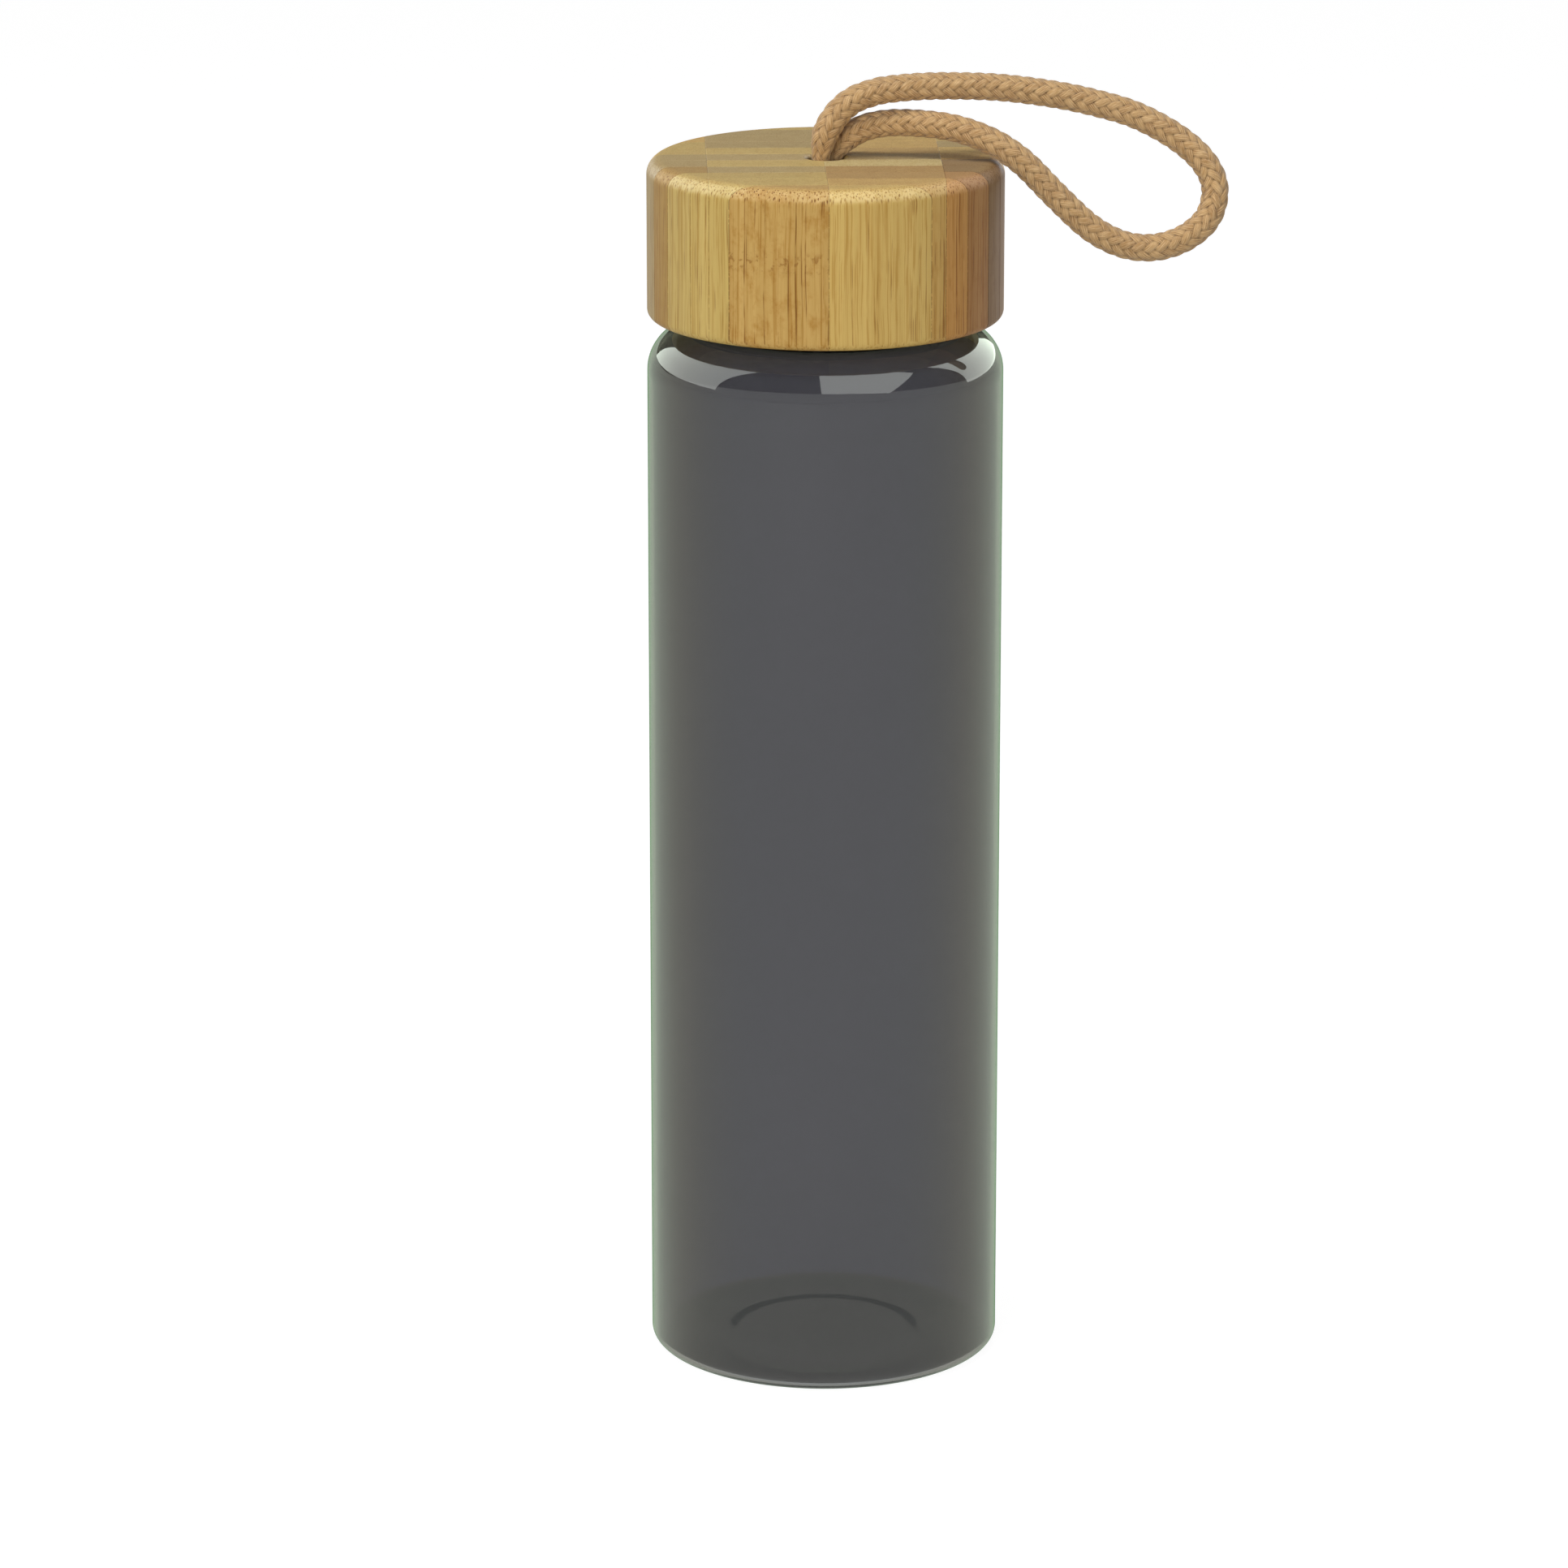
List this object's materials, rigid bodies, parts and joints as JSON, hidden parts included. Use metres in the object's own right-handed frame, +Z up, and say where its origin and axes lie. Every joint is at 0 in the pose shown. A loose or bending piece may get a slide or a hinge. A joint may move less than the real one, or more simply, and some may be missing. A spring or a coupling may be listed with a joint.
{
  "type": "water bottle",
  "caption": "Slim see-through glass water bottle with a screw lid turned from glued bamboo strips and a braided cord carry loop.",
  "frame": {"origin": "centre of the base, on the plane that the bottle stands on", "axes": "+Z up along the bottle's axis; the cord loop hangs over the lid's edge towards +X; the front that the picture shows faces -Y"},
  "size_m": [0.1056, 0.065, 0.2413],
  "materials": {
    "smoky_glass": "smoky grey see-through glass with a pale green edge",
    "bamboo": "sanded and oiled bamboo strips, satin",
    "insert_plastic": "moulded black polypropylene",
    "silicone": "translucent white silicone",
    "cord": "braided matt cord, natural tan"
  },
  "bodies": {
    "bottle": {"glass_bottle": "smoky_glass"},
    "seal": {"seal_ring": "silicone"},
    "lid": {"cap_insert": "insert_plastic", "cord_knot": "cord", "cord_loop": "cord", "bamboo_strip_1_2": "bamboo", "bamboo_strip_1_3": "bamboo", "bamboo_strip_1_4": "bamboo", "bamboo_strip_1_5": "bamboo", "bamboo_strip_1_6": "bamboo", "bamboo_strip_1_7": "bamboo", "bamboo_strip_1_8": "bamboo", "bamboo_strip_1_9": "bamboo", "bamboo_strip_1_10": "bamboo", "bamboo_strip_2_1": "bamboo", "bamboo_strip_2_2": "bamboo", "bamboo_strip_2_3": "bamboo", "bamboo_strip_2_4": "bamboo", "bamboo_strip_2_5": "bamboo", "bamboo_strip_2_6": "bamboo", "bamboo_strip_2_7": "bamboo", "bamboo_strip_2_8": "bamboo", "bamboo_strip_2_9": "bamboo", "bamboo_strip_2_10": "bamboo", "bamboo_strip_2_11": "bamboo", "bamboo_strip_3_1": "bamboo", "bamboo_strip_3_2": "bamboo", "bamboo_strip_3_3": "bamboo", "bamboo_strip_3_4": "bamboo", "bamboo_strip_3_5": "bamboo", "bamboo_strip_3_6": "bamboo", "bamboo_strip_3_7": "bamboo", "bamboo_strip_3_8": "bamboo", "bamboo_strip_3_9": "bamboo", "bamboo_strip_3_10": "bamboo", "bamboo_strip_3_11": "bamboo", "bamboo_strip_4_2": "bamboo", "bamboo_strip_4_3": "bamboo", "bamboo_strip_4_4": "bamboo", "bamboo_strip_4_5": "bamboo", "bamboo_strip_4_6": "bamboo", "bamboo_strip_4_7": "bamboo", "bamboo_strip_4_8": "bamboo", "bamboo_strip_4_9": "bamboo", "bamboo_strip_4_10": "bamboo"}
  },
  "joints": [
    {"name": "lid_rise", "type": "slide", "parent": "bottle", "child": "seal", "axis": [0, 0, 1], "range_m": [0, 0.0225]},
    {"name": "lid_turn", "type": "hinge", "parent": "seal", "child": "lid", "pos_m": [0, 0, 0.2], "axis": [0, 0, 1], "range_deg": [0, 1800]}
  ],
  "couplings": [
    {"joint": "lid_rise", "follows": "lid_turn", "m_per_rad": 0.00071619}
  ]
}
